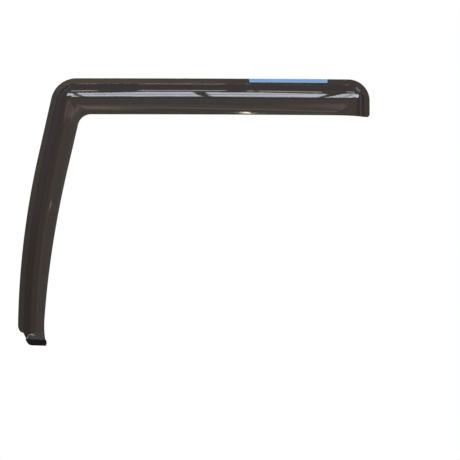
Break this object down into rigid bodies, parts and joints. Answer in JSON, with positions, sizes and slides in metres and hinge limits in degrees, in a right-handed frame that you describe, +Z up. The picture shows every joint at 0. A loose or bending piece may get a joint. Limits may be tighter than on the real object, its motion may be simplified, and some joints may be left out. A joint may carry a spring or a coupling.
{
  "type": "window rain deflector",
  "caption": "Dark smoked L-shaped rain deflector for a front door window, with a flat seating flange, a rounded hood, a taped top run and a rubber-capped leg.",
  "frame": {"origin": "on the flange's back face, at the middle of the top run, on the flange's centreline", "axes": "+X along the top of the window towards the rear of the vehicle, +Y into the vehicle, +Z up"},
  "size_m": [0.7922, 0.0296, 0.6028],
  "materials": {
    "smoked_acrylic": "polished smoked acrylic",
    "foam_tape": "closed-cell foam",
    "liner_film": "satin release film",
    "black_rubber": "smooth moulded rubber"
  },
  "bodies": {
    "root": {"smoked_visor": "smoked_acrylic", "adhesive_tape": "foam_tape", "tape_liner": "liner_film", "end_cap": "black_rubber"}
  },
  "joints": []
}
